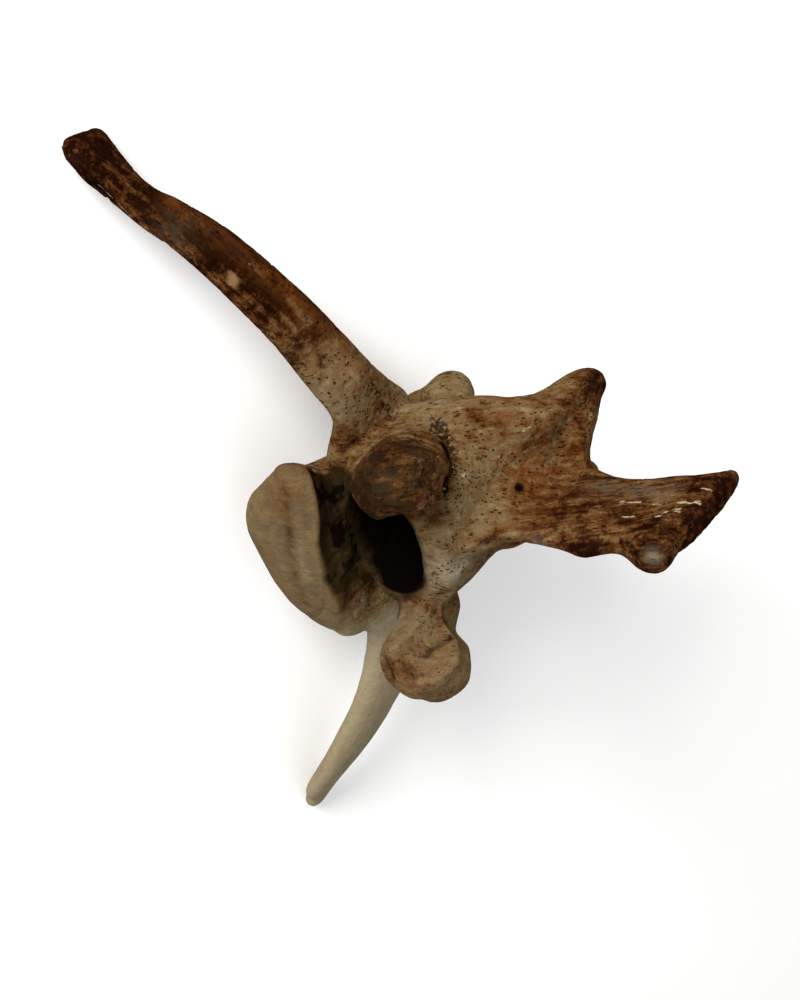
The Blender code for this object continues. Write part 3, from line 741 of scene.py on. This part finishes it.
def grit_mask(p, part):
    """Where dark grit sits in the bone's pores."""
    grit = 0.30 * near(p, KNOB, 3.2) + 0.22 * part["floor"]
    grit += 0.25 * oval(p, LAMINA_GRIT, LAMINA_GRIT_RADII)
    for path, reach, strength in GRIT_LINES:
        grit += strength * along(p, path, reach)
    return grit


def pitted_mask(part, spot):
    """Where the bone has open pores."""
    pitted = (1 - part["left_wing"]) * (1 - 0.8 * part["face"]) * (1 - part["canal"])
    pitted *= 1 - 0.4 * part["spine_top"] - 0.4 * part["left_joint"]
    return pitted * (1 - ease(0.1, 0.4, spot))


def masks(p, normals, part, hollow):
    """What the material mixes by."""
    blotch = fractal(p, 8.0, 4, 41)
    fine = fractal(p, 2.4, 3, 51)
    spot = oval(p, WING_SPOT, WING_SPOT_RADII)
    neck = oval(p, LEFT_NECK, LEFT_NECK_RADII) + 0.8 * along(p, LAMINA_CHALK, 1.8)
    dark, murk = canal_soil_and_shade_masks(p, normals, part, fine)
    dome_murk = 0.42 * part["right_dome"] * (1.0 + 0.6 * fine)
    made = {
        "stain": stain_mask(p, part, hollow, blotch, fine),
        "orange": orange_mask(p, blotch),
        "pink": pink_mask(p, spot, fine),
        "plum": plum_mask(p, fine),
        "chalk": neck * (0.40 + 0.7 * fine) + 0.75 * near(p, SPINE_KNOB, 1.1) * (0.8 + 0.6 * fine),
        "grey": grey_mask(p, part, fine),
        # Painted shade with dark soil in the canal, near black deep inside; the murk is partly painted
        # shade there too
        "dark": dark,
        "murk": murk + dome_murk,
        "crust": crust_mask(p),
        # Pale flecks, partly painted highlights
        "fleck_and_highlight": fleck_and_highlight_mask(p),
        "grit": grit_mask(p, part),
        "pitted": pitted_mask(part, spot),
        "calm": 0.8 * part["face"] + 0.3 * part["left_joint"] + 0.5 * neck,
    }
    return {name: np.clip(values, 0, 1) for name, values in made.items()}


# Materials


class Graph:
    """Short words for making and joining shader nodes."""

    def __init__(self, material):
        material.use_nodes = True
        self.tree = material.node_tree
        self.tree.nodes.clear()

    def node(self, kind, **settings):
        made = self.tree.nodes.new(kind)
        for key, value in settings.items():
            setattr(made, key, value)
        return made

    def link(self, out, socket):
        self.tree.links.new(out, socket)

    def put(self, value, socket):
        """Joins an output to the socket, or sets the socket to a plain value."""
        if hasattr(value, "is_output"):
            self.link(value, socket)
        else:
            socket.default_value = value

    def mask(self, name):
        return self.node("ShaderNodeAttribute", attribute_name=name).outputs["Fac"]

    def places(self, name):
        """Places stored on the mesh: the animal's own axes, or those squeezed along the fibres."""
        return self.node("ShaderNodeAttribute", attribute_name=name).outputs["Vector"]

    def combine(self, first, second, kind, clamp=False):
        made = self.node("ShaderNodeMath", operation=kind, use_clamp=clamp)
        self.put(first, made.inputs[0])
        self.put(second, made.inputs[1])
        return made.outputs[0]

    def add(self, first, second, clamp=False):
        return self.combine(first, second, "ADD", clamp)

    def times(self, first, second):
        return self.combine(first, second, "MULTIPLY")

    def minus(self, first, second):
        return self.combine(first, second, "SUBTRACT")

    def span(self, value, low, high, to_low=0.0, to_high=1.0):
        """The value from low to high, carried smoothly onto to_low to to_high."""
        made = self.node("ShaderNodeMapRange", interpolation_type="SMOOTHSTEP")
        self.put(value, made.inputs["Value"])
        made.inputs["From Min"].default_value = low
        made.inputs["From Max"].default_value = high
        made.inputs["To Min"].default_value = to_low
        made.inputs["To Max"].default_value = to_high
        return made.outputs["Result"]

    def speckle(self, size_mm, detail=4.0, rough=0.55, vector=None, warp=0.0):
        made = self.node("ShaderNodeTexNoise")
        self.link(vector or self.places("animal"), made.inputs["Vector"])
        made.inputs["Scale"].default_value = 1 / size_mm
        made.inputs["Detail"].default_value = detail
        made.inputs["Roughness"].default_value = rough
        made.inputs["Distortion"].default_value = warp
        return made.outputs["Fac"]

    def cells(self, size_mm, vector=None):
        made = self.node("ShaderNodeTexVoronoi")
        self.link(vector or self.places("animal"), made.inputs["Vector"])
        made.inputs["Scale"].default_value = 1 / size_mm
        return made.outputs["Distance"]

    def ramp(self, value, stops):
        made = self.node("ShaderNodeValToRGB")
        self.link(value, made.inputs["Fac"])
        line = made.color_ramp
        while len(line.elements) < len(stops):
            line.elements.new(0.5)
        for element, (place, colour) in zip(line.elements, stops):
            element.position = place
            element.color = colour
        return made.outputs["Color"]

    def mix(self, share, first, second):
        made = self.node("ShaderNodeMix", data_type="RGBA", blend_type="MIX")
        made.clamp_factor = True
        self.put(share, made.inputs[0])
        self.put(first, made.inputs[6])
        self.put(second, made.inputs[7])
        return made.outputs[2]

    def finish(self, shader):
        out = self.node("ShaderNodeOutputMaterial")
        self.link(shader.outputs["BSDF"], out.inputs["Surface"])


class BoneTextures:
    """Places and noises that several layers of the bone's material share."""

    def __init__(self, g):
        self.drawn = g.places("fibre")
        self.half_drawn = g.mix(0.8, g.places("animal"), self.drawn)
        self.wide = g.speckle(6.0, 6.0, 0.62, warp=0.8)
        self.middle = g.speckle(1.8, 6.0, 0.62)
        self.small = g.speckle(0.45, 4.0, 0.6)
        self.streak = g.speckle(1.1, 5.0, 0.6, vector=self.drawn, warp=0.3)


def stained(g, t, stain):
    """Bone colour by how dark the stain is, uneven at every size, with dark blots in the dark parts."""
    lively = g.span(stain, 0.08, 0.7, 0.35, 1.5)
    lively = g.times(lively, g.span(g.mask("calm"), 0.0, 1.0, 1.0, 0.4))
    shifts = g.span(t.wide, 0.28, 0.72, -0.12, 0.12)
    shifts = g.add(shifts, g.span(t.middle, 0.28, 0.72, -0.10, 0.10))
    shifts = g.add(shifts, g.span(t.streak, 0.30, 0.70, -0.14, 0.14))
    shifts = g.add(shifts, g.span(t.small, 0.3, 0.7, -0.05, 0.05))
    shifted = g.add(stain, g.times(shifts, lively), clamp=True)
    colour = g.ramp(shifted, STAIN_STOPS)
    blots = g.span(g.speckle(2.4, 6.0, 0.68, warp=0.6), 0.53, 0.62)
    blots = g.times(blots, g.span(stain, 0.50, 0.78))
    return g.mix(g.times(blots, 0.80), colour, BLOT)


def tinted(g, t, colour):
    """The tints that lie over the stain in places."""
    glow = g.times(g.mask("orange"), g.span(t.streak, 0.36, 0.6))
    colour = g.mix(g.times(glow, 0.8), colour, ORANGE)
    colour = g.mix(g.times(g.mask("grey"), g.span(t.middle, 0.35, 0.6)), colour, GREY)
    # The murky brown is partly painted shade in the canal
    colour = g.mix(g.times(g.mask("murk"), g.span(t.wide, 0.3, 0.6, 0.6, 1.0)), colour, MURK)
    colour = g.mix(g.times(g.mask("plum"), g.span(t.middle, 0.35, 0.6, 0.5, 1.0)), colour, PLUM)
    colour = g.mix(g.mask("pink"), colour, PINK)
    return g.mix(g.mask("chalk"), colour, CHALK)


def scratch_marks(g, t):
    """Fine dark scratches along the fibres."""
    scratches = g.span(g.speckle(0.6, 2.0, 0.5, vector=t.drawn), 0.61, 0.66)
    scratches = g.times(scratches, g.span(t.wide, 0.44, 0.56))
    return g.times(scratches, g.mask("pitted"))


def pore_marks(g, t):
    """Open pores: short dashes along the fibres, and round holes."""
    dashes = g.span(g.cells(0.62, t.half_drawn), 0.33, 0.18)
    dashes = g.times(dashes, g.span(g.speckle(3.5, 3.0), 0.44, 0.54))
    holes = g.span(g.cells(1.05), 0.21, 0.12)
    holes = g.times(holes, g.span(g.speckle(4.5, 2.0), 0.47, 0.56))
    return g.times(g.combine(holes, dashes, "MAXIMUM"), g.mask("pitted"))


def dirt_shade_and_flecks(g, t, colour):
    """Grit with pale chips in it, crust, the canal's dark soil and painted shade, and pale flecks on
    top, partly painted highlights.
    """
    grit = g.mask("grit")
    crumbs = g.minus(g.speckle(0.6, 5.0, 0.7), 0.5)
    gritty = g.span(g.add(grit, g.times(crumbs, 2.6)), 0.50, 0.66)
    gritty = g.times(gritty, g.span(grit, 0.05, 0.2))
    colour = g.mix(g.times(gritty, 0.85), colour, CRUST)
    chips = g.span(g.speckle(0.5, 3.0, 0.6, vector=t.half_drawn), 0.63, 0.68)
    colour = g.mix(g.times(chips, g.span(grit, 0.45, 0.7, 0.0, 0.7)), colour, FLECK_AND_HIGHLIGHT)
    colour = g.mix(g.mask("crust"), colour, CRUST)
    # The canal's dark soil and painted shade, near black deep inside
    colour = g.mix(g.mask("dark"), colour, SHADE_AND_SOIL_BLACK)
    broken = g.times(g.minus(g.speckle(0.55, 4.0, 0.65, vector=t.half_drawn), 0.5), 2.4)
    # Pale flecks on top, partly painted highlights
    return g.mix(g.span(g.add(g.mask("fleck_and_highlight"), broken), 0.70, 0.90, 0.0, 0.75), colour, FLECK_AND_HIGHLIGHT)


def fine_bumps(g, t, scratches, pores):
    """Bumps too fine for the mesh."""
    bump = g.node("ShaderNodeBump")
    bump.inputs["Strength"].default_value = 0.70
    bump.inputs["Distance"].default_value = 0.14 * MM
    height = g.add(g.add(t.middle, t.small), g.times(t.streak, 0.8))
    height = g.minus(height, g.times(g.add(pores, scratches), 1.3))
    g.link(height, bump.inputs["Height"])
    return bump.outputs["Normal"]


def bone_material():
    material = bpy.data.materials.new("weathered_bone")
    g = Graph(material)
    t = BoneTextures(g)
    stain = g.mask("stain")
    scratches = scratch_marks(g, t)
    pores = pore_marks(g, t)
    colour = tinted(g, t, stained(g, t, stain))
    colour = g.mix(g.times(scratches, 0.6), colour, SCRATCH)
    colour = g.mix(g.times(pores, 0.9), colour, SCRATCH)
    colour = dirt_shade_and_flecks(g, t, colour)
    shader = g.node("ShaderNodeBsdfPrincipled")
    g.link(colour, shader.inputs["Base Color"])
    dry = g.span(stain, 0.2, 0.8, 0.68, 0.48)
    g.link(g.add(dry, g.span(t.middle, 0.3, 0.7, -0.07, 0.07)), shader.inputs["Roughness"])
    shader.inputs["Specular IOR Level"].default_value = 0.0
    g.link(fine_bumps(g, t, scratches, pores), shader.inputs["Normal"])
    g.finish(shader)
    return material


def floor_material():
    material = bpy.data.materials.new("white_sweep")
    g = Graph(material)
    shader = g.node("ShaderNodeBsdfPrincipled")
    flat = g.node("ShaderNodeTexCoord").outputs["Object"]
    colour = g.ramp(g.speckle(0.06, 2.0, vector=flat), FLOOR_WHITES)
    g.link(colour, shader.inputs["Base Color"])
    shader.inputs["Roughness"].default_value = 0.9
    shader.inputs["Specular IOR Level"].default_value = 0.1
    g.finish(shader)
    return material


# The bone, the floor, the light and the camera


def store(mesh, name, kind, field, values):
    """Keeps values for the mesh's points, which the material reads by name."""
    layer = mesh.attributes.new(name, kind, "POINT")
    layer.data.foreach_set(field, values.astype(np.float32).ravel())


def make_bone():
    bone = remeshed(joined_solids())
    mesh = bone.data
    largest_piece(mesh)
    edges = edges_of(mesh)
    points = smoothed(coordinates(mesh), edges, SMOOTH_STEPS)
    points = points - normals_of(mesh, points) * SEAM_PUSH
    normals = normals_of(mesh, points)
    part = regions(points)
    hollow = hollowness(points, edges, normals)
    for name, values in masks(points, normals, part, hollow).items():
        store(mesh, name, "FLOAT", "value", values)
    for name, places in (("animal", points), ("fibre", fibres(points, part))):
        store(mesh, name, "FLOAT_VECTOR", "vector", places)
    shaped = relief(points, normals, part)
    mesh.vertices.foreach_set("co", (shaped * MM).ravel())
    mesh.transform(POSE)
    mesh.update()
    mesh.polygons.foreach_set("use_smooth", np.ones(len(mesh.polygons), dtype=bool))
    mesh.materials.clear()
    mesh.materials.append(bone_material())
    return bone


def make_floor():
    bpy.ops.mesh.primitive_plane_add(size=FLOOR_SIZE)
    floor = bpy.context.object
    floor.name = "floor"
    floor.data.materials.append(floor_material())
    return floor


def make_key(camera):
    """A disk lamp, placed from the camera's own right, up and back."""
    right, up, back = (Vector(camera.matrix_world.col[i][:3]).normalized() for i in range(3))
    data = bpy.data.lights.new("key", "AREA")
    data.shape = "DISK"
    data.size = KEY_SIZE
    data.energy = KEY_POWER
    data.color = KEY_COLOUR
    lamp = bpy.data.objects.new("key", data)
    bpy.context.scene.collection.objects.link(lamp)
    lamp.location = back * KEY_BACK + right * KEY_RIGHT + up * KEY_UP
    lamp.rotation_euler = (Vector(KEY_AIM) - lamp.location).to_track_quat("-Z", "Y").to_euler()
    return lamp


def make_surround():
    world = bpy.data.worlds.new("soft_room")
    bpy.context.scene.world = world
    world.use_nodes = True
    back = world.node_tree.nodes["Background"]
    back.inputs["Color"].default_value = (1.0, 1.0, 1.0, 1.0)
    back.inputs["Strength"].default_value = SURROUND_STRENGTH


def make_camera():
    axis = Vector(TURN_AXIS)
    turn = Matrix.Rotation(axis.length, 3, axis)
    # The fitted lens has Y down and looks along Z, and a camera object has Y up and looks along -Z
    flip = Matrix(((1, 0, 0), (0, -1, 0), (0, 0, -1)))
    place = -(turn.transposed() @ Vector(LENS_SHIFT)) * MM
    facing = (flip @ turn).transposed().to_quaternion()
    data = bpy.data.cameras.new("camera")
    data.lens = LENS
    data.sensor_width = SENSOR
    data.clip_start = 0.01
    data.clip_end = 10.0
    camera = bpy.data.objects.new("camera", data)
    bpy.context.scene.collection.objects.link(camera)
    camera.matrix_world = POSE @ Matrix.LocRotScale(place, facing, None)
    bpy.context.scene.camera = camera
    return camera


bone = make_bone()
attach(bone, "root")
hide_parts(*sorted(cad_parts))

floor = make_floor()
camera = make_camera()
make_key(camera)
make_surround()
bpy.context.scene.view_settings.view_transform = "Standard"
